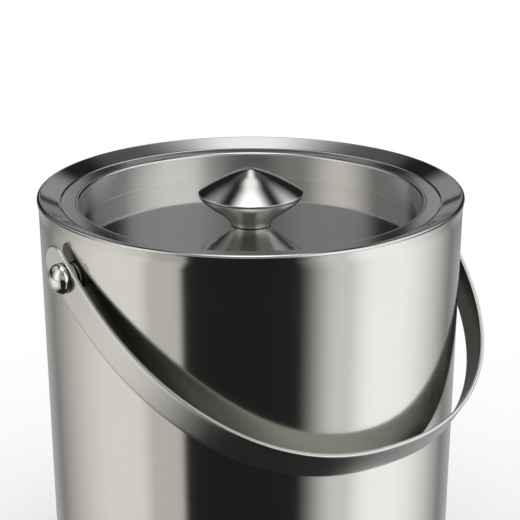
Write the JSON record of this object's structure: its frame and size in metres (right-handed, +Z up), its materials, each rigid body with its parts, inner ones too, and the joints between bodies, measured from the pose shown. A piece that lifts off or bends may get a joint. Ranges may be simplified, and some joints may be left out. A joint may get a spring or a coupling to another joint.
{
  "type": "ice bucket",
  "caption": "Round double-wall steel ice bucket with a recessed lift-off lid, a mushroom knob and a flat strap handle that swings over the top.",
  "frame": {"origin": "middle of the base pad's underside, on the surface that the bucket stands on", "axes": "+Z up along the bucket's axis, +X along the line of the handle's two pivots, and the handle folded down towards -Y"},
  "size_m": [0.1968, 0.1878, 0.1896],
  "materials": {
    "brushed_shell": "satin",
    "satin_rim": "satin",
    "polished_lid": "polished",
    "turned_knob": "satin",
    "satin_strap": "satin",
    "polished_dome": "polished",
    "plain_steel": "satin",
    "foam": "matte",
    "rubber": "matte",
    "nylon": "matte"
  },
  "bodies": {
    "bucket": {"outer_shell": "brushed_shell", "inner_liner": "satin_rim", "insulation_sleeve": "foam", "insulation_disc": "foam", "base_plate": "plain_steel", "base_pad": "rubber", "pivot_dome_nut_left": "polished_dome", "pivot_dome_nut_right": "polished_dome", "pivot_bush_left": "plain_steel", "pivot_bush_right": "plain_steel", "pivot_washer_left": "nylon", "pivot_washer_right": "nylon", "pivot_stud_left": "plain_steel", "pivot_stud_right": "plain_steel", "pivot_backing_plate_left": "plain_steel", "pivot_backing_plate_right": "plain_steel"},
    "handle": {"handle_strap": "satin_strap"},
    "lid": {"lid_pan": "polished_lid", "lid_cover": "satin_rim", "lid_insulation": "foam", "knob_base": "turned_knob", "knob_cap": "turned_knob", "knob_screw": "plain_steel", "knob_washer": "plain_steel"}
  },
  "joints": [
    {"name": "handle_swing", "type": "hinge", "parent": "bucket", "child": "handle", "pos_m": [0, 0, 0.1593], "axis": [-1, 0, 0], "range_deg": [0, 252.3]},
    {"name": "lid_lift", "type": "slide", "parent": "bucket", "child": "lid", "axis": [0, 0, 1], "range_m": [0, 0.2]}
  ]
}
